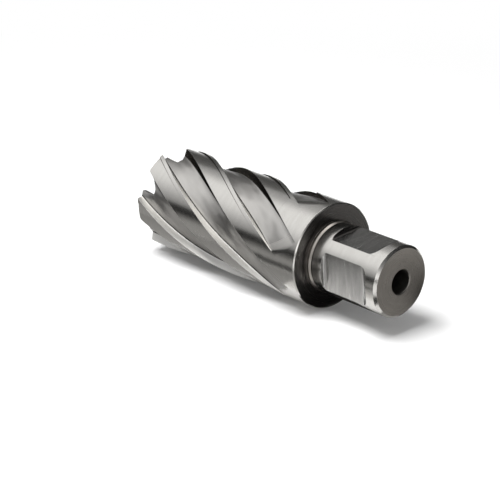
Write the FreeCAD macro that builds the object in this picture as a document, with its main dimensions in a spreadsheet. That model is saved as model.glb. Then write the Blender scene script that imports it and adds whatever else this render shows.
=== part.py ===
import FreeCAD, Part
import math
import os
import Sketcher

from FreeCAD import Placement, Rotation, Vector

# Annular cutter lying on its side: a hollow milling cutter in one piece of steel.
# The axis of the cutter is X. The origin is on the axis, in the plane of the shoulder
# behind the cutting head: the head runs to -X, the shank to +X. +Z is up.

SIZES = {
    # cutting head
    "cutter_diameter": 28.6,
    "head_length": 65.0,
    "collar_chamfer": 0.3,
    # core that holds the slug, and the bore of the pilot
    "core_diameter": 20.4,
    "core_depth": 55.8,
    "core_corner": 1.6,
    "bore_diameter": 6.4,
    "bore_chamfer": 0.25,
    # shank with two flats for the set screws of the arbor
    "shank_diameter": 19.05,
    "shank_length": 24.0,
    "shank_chamfer": 0.65,
    "ring_width": 1.2,
    "ring_height": 0.2,
    "groove_width": 0.9,
    "groove_depth": 0.35,
    "flat_height": 7.9,
    "flat_start": 4.9,
    "flat_length": 12.9,
    "flat_root_radius": 0.8,
    "flat_exit_radius": 3.5,
    "flat_angle": 4.3,
    "flat_spacing": 90.0,
    # helical flutes
    "flute_lead": 164.0,
    "flute_depth": 2.2,
    "flute_span": 35.5,
    "rake_start": 105.2,
    "floor_hollow": 0.25,
    "heel_lean": 15.0,
    "heel_root_chamfer": 0.9,
    "runout_length": 28.0,
    "rake_side_end": 8.3,
    "heel_side_end": 1.1,
    # relief behind the margin of each land
    "margin_width": 1.15,
    "relief_step": 0.35,
    "relief_length": 53.1,
    # teeth at the end
    "end_relief": 9.5,
    "end_cone": 20.0,
    "nose_length": 1.1,
    "gullet_depth": 4.9,
    "gullet_lean": 0.5,
    "gullet_flat": 2.0,
    "gullet_heel_depth": 1.5,
}
TOOTH_COUNT = 6
# the grinding tools stand this far outside the blank
OUTSIDE = 4.0
# cross-sections that a helical tool is lofted through
RELIEF_STATIONS = 8
FLUTE_STATIONS = 14


def make_sheet(doc):
    """Put the driving sizes in a spreadsheet, one named cell each."""
    sheet = doc.addObject("Spreadsheet::Sheet", "sizes")
    for row, (name, value) in enumerate(SIZES.items(), start=1):
        sheet.set("A%d" % row, name)
        sheet.set("B%d" % row, str(value))
        sheet.setAlias("B%d" % row, name)
    doc.recompute()
    return sheet


def origin_plane(body, role):
    """Find one of the body's own origin planes or axes."""
    return next(item for item in body.Origin.OriginFeatures if item.Role == role)


def draw_outline(sketch, corners):
    """Draw a closed outline whose corners are bound to the sheet.

    Each corner is a name with the expressions of its two coordinates.
    """
    names = list(corners)
    count = len(names)
    rough = [Vector(step, step * step, 0) for step in range(count)]
    for step in range(count):
        sketch.addGeometry(Part.LineSegment(rough[step], rough[(step + 1) % count]))
    for step in range(count):
        following = (step + 1) % count
        sketch.addConstraint(Sketcher.Constraint("Coincident", step, 2, following, 1))
    for step, name in enumerate(names):
        across, along = corners[name]
        bind(sketch, "DistanceX", step, name + "_x", across)
        bind(sketch, "DistanceY", step, name + "_y", along)


def bind(sketch, kind, line, name, expression):
    """Fix the start of a line at a distance from the origin, named and driven."""
    index = sketch.addConstraint(Sketcher.Constraint(kind, -1, 1, line, 1, 1.0))
    sketch.renameConstraint(index, name)
    sketch.setExpression("Constraints." + name, expression)


def turn_blank(doc, body):
    """Turn the blank: head, shoulder, ring, undercut, shank, core and pilot bore."""
    sketch = body.newObject("Sketcher::SketchObject", "blank_outline")
    sketch.AttachmentSupport = [(origin_plane(body, "XZ_Plane"), "")]
    sketch.MapMode = "FlatFace"
    head = "-sizes.head_length"
    outer = "sizes.cutter_diameter / 2"
    shank = "sizes.shank_diameter / 2"
    ring = shank + " + sizes.ring_height"
    core = "sizes.core_diameter / 2"
    bore = "sizes.bore_diameter / 2"
    floor = head + " + sizes.core_depth"
    undercut_end = "sizes.ring_width + sizes.groove_width"
    draw_outline(sketch, {
        "mouth": (head, core),
        "rim": (head, outer),
        "collar": ("-sizes.collar_chamfer", outer),
        "shoulder": ("0", outer + " - sizes.collar_chamfer"),
        "ring_root": ("0", ring),
        "ring": ("sizes.ring_width", ring),
        "undercut": ("sizes.ring_width", shank + " - sizes.groove_depth"),
        "undercut_end": (undercut_end, shank + " - sizes.groove_depth"),
        "shank": (undercut_end, shank),
        "shank_edge": ("sizes.shank_length - sizes.shank_chamfer", shank),
        "shank_end": ("sizes.shank_length", shank + " - sizes.shank_chamfer"),
        "bore_edge": ("sizes.shank_length", bore + " + sizes.bore_chamfer"),
        "bore": ("sizes.shank_length - sizes.bore_chamfer", bore),
        "core_hole": (floor, bore),
        "core_floor": (floor, core + " - sizes.core_corner"),
        "core_wall": (floor + " - sizes.core_corner", core),
    })
    turned = body.newObject("PartDesign::Revolution", "turned_blank")
    turned.Profile = sketch
    turned.ReferenceAxis = (sketch, ["H_Axis"])
    turned.Angle = 360
    doc.recompute()
    return turned


def grind_flats(doc, body, sheet):
    """Grind the two flats of the shank: a flat floor, steep at the shoulder side,
    that runs out in a wide radius towards the end of the shank."""
    start = float(sheet.flat_start)
    length = float(sheet.flat_length)
    floor = float(sheet.flat_height)
    root = float(sheet.flat_root_radius)
    leaving = float(sheet.flat_exit_radius)
    sketch = body.newObject("Sketcher::SketchObject", "flat_outline")
    sketch.AttachmentSupport = [(origin_plane(body, "XZ_Plane"), "")]
    sketch.MapMode = "FlatFace"
    sketch.AttachmentOffset = Placement(Vector(), Rotation(Vector(1, 0, 0), 1))
    sketch.setExpression("AttachmentOffset.Rotation.Angle", "sizes.flat_angle")
    top = floor + leaving
    end = start + length
    normal = Vector(0, 0, 1)
    quarter = math.pi / 2
    root_circle = Part.Circle(Vector(start + root, floor + root, 0), normal, root)
    exit_circle = Part.Circle(Vector(end, floor + leaving, 0), normal, leaving)
    wall = sketch.addGeometry(Part.LineSegment(Vector(start, top), Vector(start, floor + root)))
    root_arc = sketch.addGeometry(Part.ArcOfCircle(root_circle, 2 * quarter, 3 * quarter))
    base = sketch.addGeometry(Part.LineSegment(Vector(start + root, floor), Vector(end, floor)))
    exit_arc = sketch.addGeometry(Part.ArcOfCircle(exit_circle, 3 * quarter, 4 * quarter))
    lid = sketch.addGeometry(Part.LineSegment(Vector(end + leaving, top), Vector(start, top)))
    for first, second in ((wall, root_arc), (base, exit_arc)):
        sketch.addConstraint(Sketcher.Constraint("Tangent", first, 2, second, 1))
    sketch.addConstraint(Sketcher.Constraint("Tangent", root_arc, 2, base, 1))
    sketch.addConstraint(Sketcher.Constraint("Coincident", exit_arc, 2, lid, 1))
    sketch.addConstraint(Sketcher.Constraint("Coincident", lid, 2, wall, 1))
    sketch.addConstraint(Sketcher.Constraint("Vertical", wall))
    sketch.addConstraint(Sketcher.Constraint("Horizontal", base))
    sketch.addConstraint(Sketcher.Constraint("Horizontal", lid))
    sketch.addConstraint(Sketcher.Constraint("Horizontal", exit_arc, 3, lid, 1))
    driven = (
        ("root_radius", Sketcher.Constraint("Radius", root_arc, root), "sizes.flat_root_radius"),
        ("exit_radius", Sketcher.Constraint("Radius", exit_arc, leaving), "sizes.flat_exit_radius"),
        ("start", Sketcher.Constraint("DistanceX", -1, 1, wall, 1, start), "sizes.flat_start"),
        ("end", Sketcher.Constraint("DistanceX", -1, 1, base, 2, end), "sizes.flat_start + sizes.flat_length"),
        ("floor", Sketcher.Constraint("DistanceY", -1, 1, base, 1, floor), "sizes.flat_height"),
    )
    for name, constraint, expression in driven:
        index = sketch.addConstraint(constraint)
        sketch.renameConstraint(index, name)
        sketch.setExpression("Constraints." + name, expression)
    flat = body.newObject("PartDesign::Pocket", "flat")
    flat.Profile = sketch
    flat.Midplane = True
    flat.setExpression("Length", "sizes.shank_diameter * 2")
    doc.recompute()
    pattern = body.newObject("PartDesign::PolarPattern", "flats")
    pattern.Originals = [flat]
    pattern.Axis = (origin_plane(body, "X_Axis"), [""])
    pattern.setExpression("Angle", "sizes.flat_spacing")
    pattern.Occurrences = 2
    body.Tip = pattern
    doc.recompute()
    return flat


def turned_point(station, across, along, degrees):
    """Place a point of a cross-section: across is radial, along is tangential."""
    angle = math.radians(degrees)
    height = across * math.sin(angle) + along * math.cos(angle)
    side = across * math.cos(angle) - along * math.sin(angle)
    return Vector(station, side, height)


def flute_section(sheet, station, degrees):
    """Outline of a flute across the axis: radial rake face, floor round the axis,
    chamfered corner and the leaning wall below the heel. The floor climbs out of
    the steel towards the collar, sooner at the rake face than at the heel, and the
    flute narrows as it climbs because its wall leans."""
    radius = float(sheet.cutter_diameter) / 2
    depth = float(sheet.flute_depth)
    lean = math.radians(float(sheet.heel_lean))
    span = math.radians(float(sheet.flute_span))
    chamfer = float(sheet.heel_root_chamfer)
    hollow = float(sheet.floor_hollow)
    runout_start = -float(sheet.runout_length)
    into_runout = max(0.0, station - runout_start)
    rake_run = -float(sheet.rake_side_end) - runout_start
    heel_run = -float(sheet.heel_side_end) - runout_start
    rake_depth = depth * (1 - (into_runout / rake_run) ** 2)
    heel_depth = depth * (1 - (into_runout / heel_run) ** 2)
    heel_angle = span - (depth - heel_depth) * math.tan(lean) / radius
    outward = Vector(math.cos(heel_angle), -math.sin(heel_angle), 0)
    towards_rake = Vector(math.sin(heel_angle), math.cos(heel_angle), 0)
    down = towards_rake * math.sin(lean) - outward * math.cos(lean)
    heel = outward * radius
    foot = heel + down * (heel_depth / math.cos(lean))
    foot_angle = math.atan2(-foot.y, foot.x)

    def on_floor(angle):
        rise = angle / foot_angle
        height = radius - rake_depth - (heel_depth - rake_depth) * rise
        height -= 4 * hollow * rise * (1 - rise)
        return Vector(height * math.cos(angle), -height * math.sin(angle), 0)

    floor_end = foot_angle - chamfer / radius
    outline = [
        Vector(radius + OUTSIDE, 0, 0),
        on_floor(0),
        on_floor(floor_end / 2),
        on_floor(floor_end),
        foot - down * chamfer,
        heel - down * (OUTSIDE / math.cos(lean)),
    ]
    brink, root, middle, end, wall, brow = [
        turned_point(station, point.x, point.y, degrees) for point in outline
    ]
    edges = [
        Part.makeLine(brink, root),
        Part.Arc(root, middle, end).toShape(),
        Part.makeLine(end, wall),
        Part.makeLine(wall, brow),
        Part.makeLine(brow, brink),
    ]
    return Part.Wire(edges)


def relief_section(sheet, station, degrees):
    """Outline of the sector behind the margin of a land, to just past its heel."""
    radius = float(sheet.cutter_diameter) / 2
    core = float(sheet.core_diameter) / 2
    margin = float(sheet.margin_width) / radius
    pitch = 2 * math.pi / TOOTH_COUNT
    heel = pitch - math.radians(float(sheet.flute_span)) + margin
    corners = [
        turned_point(station, distance, 0, degrees + math.degrees(angle))
        for distance, angle in (
            (core, margin),
            (radius + OUTSIDE, margin),
            (radius + OUTSIDE, heel),
            (core, heel),
        )
    ]
    return Part.makePolygon(corners + corners[:1])


def helical_loft(sheet, section, start, end, stations):
    """Loft a cross-section along the helix of the flutes."""
    head = float(sheet.head_length)
    lead = float(sheet.flute_lead)
    turn = float(sheet.rake_start)
    wires = []
    for index in range(stations + 1):
        station = start + (end - start) * index / stations
        degrees = turn + (station + head) * 360 / lead
        wires.append(section(sheet, station, degrees))
    return Part.makeLoft(wires, True, False)


def end_prism(sheet):
    """Wedge ground off the end at one tooth: the relief behind the cutting edge,
    and the gullet before it, whose wall stands ahead of the rake face by the length
    of the nose. The wedge rises outwards along a cone, so the tooth is longest at
    the core."""
    head = float(sheet.head_length)
    radius = float(sheet.cutter_diameter) / 2
    core = float(sheet.core_diameter) / 2
    depth = float(sheet.gullet_depth)
    slope = math.tan(math.radians(float(sheet.end_relief)))
    half_pitch = math.pi / TOOTH_COUNT
    reach = radius * math.sin(half_pitch)
    nose = -float(sheet.nose_length)
    corner = nose + float(sheet.gullet_lean)
    floor_end = corner - float(sheet.gullet_flat)
    heel_depth = float(sheet.gullet_heel_depth)
    outline = [
        (reach, -OUTSIDE),
        (reach, (reach - nose) * slope),
        (nose, 0),
        (corner, depth),
        (floor_end, depth),
        (-reach, heel_depth),
        (-reach, -OUTSIDE),
    ]
    inner = core * math.cos(2 * half_pitch)
    rise = math.tan(math.radians(float(sheet.end_cone)))
    start = -head - (core - inner) * rise
    length = radius + OUTSIDE - inner
    degrees = float(sheet.rake_start)
    points = [turned_point(start + along, inner, across, degrees) for across, along in outline]
    face = Part.Face(Part.makePolygon(points + points[:1]))
    return face.extrude(turned_point(length * rise, length, 0, degrees))


def around_axis(shape):
    """Copies of a shape, one for each tooth."""
    copies = []
    for tooth in range(TOOTH_COUNT):
        copy = shape.copy()
        copy.rotate(Vector(), Vector(1, 0, 0), tooth * 360 / TOOTH_COUNT)
        copies.append(copy)
    return copies


def add_tool(doc, name, shape):
    """Keep a grinding tool's swept shape as an object of the document."""
    tool = doc.addObject("Part::Feature", name)
    tool.Shape = shape
    tool.Placement = Placement()
    return tool


def relieved_drum(doc):
    """Round bar inside the relief: the land behind each margin lies on its surface."""
    drum = doc.addObject("Part::Cylinder", "relieved_drum")
    drum.setExpression("Radius", "sizes.cutter_diameter / 2 - sizes.relief_step")
    drum.setExpression("Height", "sizes.head_length * 2")
    drum.setExpression("Placement.Base.x", "-sizes.head_length * 2")
    drum.Placement.Rotation = Rotation(Vector(0, 1, 0), 90)
    return drum


def cut(doc, name, base, tool):
    """Take a tool's shape off the base."""
    result = doc.addObject("Part::Cut", name)
    result.Base = base
    result.Tool = tool
    result.Refine = False
    doc.recompute()
    return result


def check(doc, sub_parts):
    """Stop where an object failed or a sub-part is empty or not valid."""
    for item in doc.Objects:
        if "Invalid" in item.State or "Error" in item.State:
            raise RuntimeError("failed: " + item.Name)
    for item in sub_parts:
        if item.Shape.isNull() or not item.Shape.isValid():
            raise RuntimeError("not a valid solid: " + item.Label)


def main():
    doc = FreeCAD.newDocument("annular_cutter")
    sheet = make_sheet(doc)
    body = doc.addObject("PartDesign::Body", "blank")
    turned = turn_blank(doc, body)
    flat = grind_flats(doc, body, sheet)
    if flat.Shape.Volume >= turned.Shape.Volume:
        raise RuntimeError("the flat takes nothing off the shank")

    head = float(sheet.head_length)
    relief = helical_loft(sheet, relief_section, -head - OUTSIDE, -head + float(sheet.relief_length), RELIEF_STATIONS)
    flute = helical_loft(sheet, flute_section, -head - OUTSIDE, 0.0, FLUTE_STATIONS)
    wedges = around_axis(end_prism(sheet))
    sectors = add_tool(doc, "land_sectors", Part.makeCompound(around_axis(relief)))
    flutes = add_tool(doc, "flutes", Part.makeCompound(around_axis(flute)))
    gullets = add_tool(doc, "end_gullets", wedges[0].fuse(wedges[1:]))

    reliefs = cut(doc, "land_reliefs", sectors, relieved_drum(doc))
    relieved = cut(doc, "relieved_head", body, reliefs)
    fluted = cut(doc, "fluted_head", relieved, flutes)
    cutter = cut(doc, "toothed_cutter", fluted, gullets)
    cutter.Label = "annular_cutter"
    cutter.Placement = Placement()
    doc.recompute()

    check(doc, [cutter])
    os.makedirs("parts", exist_ok=True)
    cutter.Shape.exportStep("parts/" + cutter.Label + ".step")
    print(cutter.Label, len(cutter.Shape.Solids), "solid", round(cutter.Shape.Volume, 1), "mm3")


main()
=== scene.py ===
import math

import bmesh
import bpy
from bpy.props import FloatProperty, PointerProperty, StringProperty
from mathutils import Matrix, Vector


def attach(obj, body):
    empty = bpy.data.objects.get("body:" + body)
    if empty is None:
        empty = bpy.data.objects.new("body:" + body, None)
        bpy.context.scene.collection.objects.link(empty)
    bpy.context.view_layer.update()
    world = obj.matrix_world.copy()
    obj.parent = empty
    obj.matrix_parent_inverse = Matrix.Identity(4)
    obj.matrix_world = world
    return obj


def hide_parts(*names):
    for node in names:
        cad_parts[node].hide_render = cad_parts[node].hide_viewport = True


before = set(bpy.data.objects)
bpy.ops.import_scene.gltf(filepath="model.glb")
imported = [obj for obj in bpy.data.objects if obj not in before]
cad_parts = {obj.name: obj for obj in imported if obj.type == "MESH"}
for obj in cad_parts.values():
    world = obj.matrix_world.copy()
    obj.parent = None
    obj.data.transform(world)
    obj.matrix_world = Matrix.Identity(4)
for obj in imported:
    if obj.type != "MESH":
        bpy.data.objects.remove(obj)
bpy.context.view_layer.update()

bl_info = {
    "name": "Annular Cutter",
    "version": (1, 0, 0),
    "blender": (4, 5, 0),
    "location": "3D View > Sidebar > Cutter",
    "description": "Dresses a flatted-shank annular cutter in ground steel and sets up its studio",
    "category": "Object",
}

NODE = "annular_cutter"
MM = 0.001
TEETH = 6
PITCH = 360 / TEETH

# surfaces of the cutter, in the order of their material slots
LAND, RAKE, FLUTE, PAINTED_SHADE, SHOULDER, TURNED, FLAT, BORE, CORE = range(9)

# surfaces of the bands of the mesh, and of its columns between the lands
# painted shade: the undercut and, among the flute's columns, the heel walls take a dark grey that stands
# in for the shade in these recesses
BAND_SLOTS = {
    "collar": LAND, "shoulder": SHOULDER, "ring": TURNED, "undercut": PAINTED_SHADE, "shank": LAND,
    "end": TURNED, "bore": BORE, "core": CORE, "teeth": FLUTE,
}
FLUTE_SLOTS = {"rake": RAKE, "heel": PAINTED_SHADE, "heel_root": FLUTE, "floor": FLUTE, "rake_root": RAKE}

# shares of the fillets at the foot of the heel wall and of the rake face that take the painted shade of
# the heel wall: a dark grey that stands in for the shade in the corners of the flute
SHADED_SHARES = {"heel_root": 0.55, "rake_root": 0.5}

# share of the floor beyond which the run-out has painted shade, a dark grey in the corner under the heel
SHADED_FLOOR = 0.9

# rows of the mesh along the head: up to the run-out, up to the end of the relief,
# up to the end of the flute, and along the collar
PLAIN_ROWS, RELIEF_ROWS, RUNOUT_ROWS, COLLAR_ROWS = 56, 19, 15, 6
RUNOUT_START = PLAIN_ROWS + RELIEF_ROWS
RUNOUT_END = RUNOUT_START + RUNOUT_ROWS - 1

# last rows of the run-out that have the finish of the collar
BLENDED_ROWS = 4

# columns of the mesh round one tooth, from the root of its rake face to that of the next
RAKE_COLUMNS = 5
MARGIN_COLUMNS = 4
LAND_COLUMNS = 12
HEEL_COLUMNS = 5
HEEL_ROOT_COLUMNS = 6
FLOOR_COLUMNS = 20
RAKE_ROOT_COLUMNS = 5

# where those columns meet the core, in degrees behind the rake face: the edge, the
# heel, the foot of its wall, and the ends of the two fillets
EDGE_AT, HEEL_AT, FOOT_AT, FLOOR_AT, ROOT_AT = 2.5, 19.0, 24.0, 27.5, PITCH - 1.0

# and how far behind the margin the step, its groove and the land meet it
STEP_AFTER, GROOVE_AFTER, LAND_AFTER = 1.5, 1.7, 1.9

# share of the land that the groove behind the margin takes
GROOVE_SHARE = 0.035

# columns of the mesh round the shank, on each flat and between the flats
FLAT_COLUMNS = 60
BRIDGE_COLUMNS = 22

# rows of the mesh along the shank: up to the flats' walls, down the walls, round
# their feet, along the flats, up their run-outs, and on to the end chamfer
LEAD_ROWS, WALL_ROWS, FOOT_ROWS, FLAT_ROWS, EXIT_ROWS, TAIL_ROWS = 5, 3, 7, 8, 10, 4
WALL_END = LEAD_ROWS + WALL_ROWS + FOOT_ROWS
FLAT_END = WALL_END + FLAT_ROWS + EXIT_ROWS

# rows of the mesh over the shoulder, the end of the shank, the bore, the floor, the
# corner and the wall of the core, and the ends of the teeth
SHOULDER_ROWS, END_ROWS, BORE_ROWS = 6, 8, 8
FLOOR_ROWS, CORNER_ROWS, CORE_ROWS, TIP_ROWS = 4, 6, 24, 8

# chamfer on the edge of the raised ring: height and length, mm
RING_CHAMFER = (0.35, 0.525)

# mm of tool marks for a radian round the axis, on the rounds and on the end faces
ROUND_MARKS, FACE_MARKS = 12.0, 10.0

# angle between faces that shows as an edge, degrees, and radius to which the shading
# rounds each edge, mm
SHARP_ANGLE = 28.0
EDGE_ROUNDING = 0.11

# the search for the end of the steel: where it starts above the gullets and gives up
# below the tips, its step, mm, and how often it halves that step
SEARCH_ABOVE, SEARCH_BELOW, SEARCH_STEP, HALVINGS = 4.0, 2.0, 0.1, 40

# largest fillet as a share of the flute's depth, and the radius of its arc as a share
# of what it takes off each side
FILLET_LIMIT, FILLET_ARC = 0.45, 0.8

# width of the last column before the next rake face, mm
LAST_WIDTH = 0.3

# noise of the finishes: the range of it that is used, and how much of it there is to a
# mm across and along the marks, for the patches of colour and for the wheel's waves
NOISE_LOW, NOISE_HIGH = 0.3, 0.7
PATCHES, WAVES = (0.9, 0.12), (0.22, 0.10)

# colours of the studio's cards, and of its paper and walls
WARM_WHITE, WHITE = "#fffefc", "#ffffff"

# paper: size from the middle in mm, scale of its fibres per metre, and its tones
FLOOR_HALF, FIBRE_SCALE, PAPER_TONES = 3000.0, 1400.0, (0.86, 0.9)

# the paper lies this far below the cutter, so that the two don't flicker, mm
FLOOR_GAP = 0.02

# where the paper starts and stops fading into white, in metres from the shoulder, and
# the share of white that it has before that
FADE = {"From Min": 0.08, "From Max": 0.32, "To Min": 0.06}

# the one lamp: place and size in mm, and power in watts
KEY_PLACE, KEY_SIZE, KEY_POWER = (-90, -240, 620), 360, 6.2

# the curtain: radius, foot and top in mm, faces round it, and the share of its height
# over which the low levels turn to the high ones
CURTAIN_RADIUS, CURTAIN_FOOT, CURTAIN_TOP, CURTAIN_FACES, CURTAIN_RISE = 700, -14.0, 1000, 96, 0.6

# grey levels of the curtain by direction in degrees, low down and high up
CURTAIN_LOW = (
    (-180, 0.5), (-160, 0.35), (-145, 0.3), (-120, 0.25), (-90, 0.2), (-66, 0.3), (-56, 1.7), (-42, 2.2),
    (-28, 0.5), (5, 0.05), (105, 0.02), (130, 0.12), (150, 0.35), (180, 0.5),
)
CURTAIN_HIGH = (
    (-180, 1.25), (-102, 1.2), (-90, 0.5), (-66, 0.5), (-52, 1.6), (-28, 0.3), (5, 0.04), (105, 0.04),
    (128, 0.12), (145, 0.45), (160, 0.6), (170, 0.95), (180, 1.25),
)

# level cards: name, height, corners, and grey levels along the first edge and along
# the opposite one. All but the first hang just above the paper.
LEVEL_CARDS = (
    ("top_card", 560, ((-300, -350), (160, -350), (160, 250), (-300, 250)), (3.0, 3.0)),
    ("left_floor_flag", -13.8, ((40, -28), (-200, -28), (-300, -85), (-20, -85)), (0.44, 0.36)),
    ("far_floor_flag", -13.8, ((-20, -85), (-300, -85), (-600, -110), (-130, -600)), (0.22, 0.02)),
    ("near_floor_flag", -13.9, ((40, -15), (-12, -15), (-12, -28), (40, -28)), (1.05, 0.42)),
    ("head_floor_flag", -13.9, ((-12, -10), (-130, -10), (-130, -28), (-12, -28)), (0.45, 0.32)),
    ("low_flag", -13.6, ((-2, -32), (-50, -30), (-52, -42), (-2, -44)), (0.05, 0.05)),
    ("front_floor_flag", -13.7, ((18, -12), (40, -12), (40, -20), (18, -20)), (0.02, 0.02)),
    # painted shadow: a near-black card under the shank and collar, seen only in reflections, standing in
    # for the shaded paper there
    ("painted_shadow_flag", -13.5, ((0, -14.5), (0, 14.5), (46, 56), (46, 27)), (0.02, 0.02)),
    ("end_floor_flag", -13.8, ((20, -6), (520, 2), (520, 46), (20, 46)), (0.38, 0.35)),
    ("rear_floor_flag", -13.8, ((20, 46), (520, 46), (520, 320), (20, 320)), (0.7, 0.5)),
)

# upright cards: name, foot and top, both ends, and grey levels at the foot and top
UPRIGHT_CARDS = (
    ("horizon_flag", (-14, 52), ((-367, -120), (-145, -358)), (0.0, 0.03)),
    ("right_flag", (-14, 30), ((40, -380), (380, -220)), (0.0, 0.03)),
    ("back_flag", (80, 370), ((-320, 500), (-560, 200)), (0.07, 0.15)),
)


def in_mm(name, description, default):
    """A size that the user may change. Blender shows its camera unit in mm."""
    return FloatProperty(name=name, description=description + ", mm", default=default, unit="CAMERA")


def in_degrees(name, description, default):
    """An angle that the user may change."""
    return FloatProperty(name=name, description=description + ", degrees", default=default)


def in_hex(name, description, default):
    """A colour that the user may change."""
    return StringProperty(name=name, description=description + ", sRGB hex", default=default)


class CutterSizes(bpy.types.PropertyGroup):
    """Sizes of the cutter. The origin is on its axis, at the shoulder, and the teeth
    are at the low end of X."""

    cutter_diameter: in_mm("Cutter diameter", "Across the margins", 28.6)
    head_length: in_mm("Head length", "Shoulder to the tips of the teeth", 65.0)
    collar_chamfer: in_mm("Collar chamfer", "At the shoulder's rim", 0.3)
    core_diameter: in_mm("Core diameter", "Inside the hollow head", 20.4)
    core_depth: in_mm("Core depth", "Tips to the floor of the core", 55.8)
    core_corner: in_mm("Core corner", "Radius between core wall and floor", 1.6)
    bore_diameter: in_mm("Pilot bore", "Hole for the pilot", 6.4)
    bore_chamfer: in_mm("Bore chamfer", "At the shank's end", 0.25)
    shank_diameter: in_mm("Shank diameter", "Ground shank", 19.05)
    shank_length: in_mm("Shank length", "Shoulder to the shank's end", 24.0)
    shank_chamfer: in_mm("Shank chamfer", "At the shank's end", 0.65)
    ring_width: in_mm("Ring width", "Raised ring at the shoulder", 1.35)
    ring_height: in_mm("Ring height", "Above the shank", 0.2)
    groove_width: in_mm("Undercut width", "Next to the ring", 0.4)
    groove_depth: in_mm("Undercut depth", "Below the shank", 0.35)
    flat_height: in_mm("Flat height", "Axis to the flat", 7.9)
    flat_start: in_mm("Flat start", "Shoulder to the flat's wall", 4.9)
    flat_length: in_mm("Flat length", "Wall to the start of the run-out", 12.9)
    flat_root: in_mm("Flat root radius", "At the flat's wall", 0.8)
    flat_exit: in_mm("Flat exit radius", "At the flat's run-out", 3.5)
    flat_angle: in_degrees("Flat angle", "Upper flat from straight up", 4.3)
    flute_lead: in_mm("Flute lead", "Length of one turn of the helix", 164.0)
    flute_depth: in_mm("Flute depth", "Margin to flute floor", 2.2)
    flute_span: in_degrees("Flute span", "Rake face to the heel before it", 35.5)
    floor_hollow: in_mm("Floor hollow", "Dip in the middle of the floor", 0.25)
    rake_start: in_degrees("Rake start", "Angle of a rake face at the tips", 105.2)
    heel_lean: in_degrees("Heel lean", "Lean of the wall below the heel", 15.0)
    heel_root: in_mm("Heel root radius", "Between heel wall and floor", 1.1)
    rake_root: in_mm("Rake root radius", "Between rake face and floor", 0.5)
    runout_length: in_mm("Run-out", "Shoulder to the flutes' rise", 28.0)
    rake_side_end: in_mm("Rake side end", "Shoulder to the flute's end", 8.3)
    heel_side_end: in_mm("Heel side end", "Shoulder to the flute's end", 1.1)
    margin_width: in_mm("Margin width", "Full-size strip behind each edge", 1.15)
    relief_step: in_mm("Relief step", "Land below the margin", 0.35)
    relief_end: in_mm("Relief end", "Shoulder to the end of the relief", 11.9)
    end_relief: in_degrees("End relief", "Behind each tooth's tip", 9.5)
    end_cone: in_degrees("End cone", "Fall of the tips towards the outside", 20.0)
    nose_length: in_mm("Nose", "Tip ahead of the rake face at the core", 1.1)
    gullet_depth: in_mm("Gullet depth", "Below the tips", 4.9)
    gullet_lean: in_mm("Gullet lean", "Of the gullet's wall over its depth", 0.5)
    gullet_flat: in_mm("Gullet floor", "Flat bottom of the gullet", 2.0)
    gullet_heel: in_mm("Gullet heel", "Depth at the heel before it", 1.5)


class FinishColours(bpy.types.PropertyGroup):
    """Colours of the steel finishes, as sRGB hex."""

    ground: in_hex("Cylindrical grinding", "Lands, collar and shank", "#c6c4c0")
    # ground steel, made lighter partly as a painted highlight along the rake faces
    edged_painted_highlight: in_hex("Edge grinding", "Rake faces", "#dddcd9")
    fluted: in_hex("Flute grinding", "Flute floors", "#b5b3b0")
    # painted shade: a dark grey standing in for the shade in the recesses of the cutter
    painted_shade_grey: in_hex("Back walls", "Heel walls, margin steps, undercut", "#3d3b38")
    # faced steel, darkened as painted shade and dark reflection round the shank
    parted_painted_dark: in_hex("Parted face", "Shoulder", "#5c5a58")
    turned: in_hex("Turned faces", "Shank end and raised ring", "#a5a09a")
    milled: in_hex("Surface grinding", "Flats of the shank", "#bebdbb")
    bored: in_hex("Boring", "Pilot bore", "#85827d")
    cored: in_hex("Rough boring", "Core", "#a09d98")


class StudioSettings(bpy.types.PropertyGroup):
    """Camera and room light of the studio."""

    azimuth: in_degrees("Azimuth", "Of the camera", 47.6274)
    elevation: in_degrees("Elevation", "Of the camera", 21.3588)
    distance: in_mm("Distance", "Origin to the camera, along the view", 433.997)
    across: in_mm("Across", "Camera to the right of the origin", -21.5727)
    upward: in_mm("Upward", "Camera above the origin, across the view", 1.5752)
    lens: in_mm("Lens", "Focal length on a 36 mm sensor", 120.35)
    glow: FloatProperty(name="Room light", description="Strength on matt surfaces", default=0.35)


def linear(hex_colour):
    """Turn an sRGB hex colour to linear red, green, blue and alpha."""
    channels = [int(hex_colour[place:place + 2], 16) / 255 for place in (1, 3, 5)]
    return [c / 12.92 if c <= 0.04045 else ((c + 0.055) / 1.055) ** 2.4 for c in channels] + [1.0]


def evenly(low, high, steps):
    """Values from one to another in equal steps, with both ends."""
    return [low + (high - low) * step / steps for step in range(steps + 1)]


def in_scene(name, data):
    """A new object in the scene."""
    item = bpy.data.objects.new(name, data)
    bpy.context.scene.collection.objects.link(item)
    return item


# the form of the head

def rake_angle(sizes, station):
    """Angle of the first tooth's rake face at a station along the axis, degrees."""
    return sizes.rake_start + (station + sizes.head_length) * 360 / sizes.flute_lead


def flute_depths(sizes, station):
    """Depth of the flute at its rake side and at its heel side."""
    climbed = max(0.0, station + sizes.runout_length)
    rake_run = sizes.runout_length - sizes.rake_side_end
    heel_run = sizes.runout_length - sizes.heel_side_end
    return (
        sizes.flute_depth * (1 - (climbed / rake_run) ** 2),
        sizes.flute_depth * (1 - (climbed / heel_run) ** 2),
    )


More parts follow.
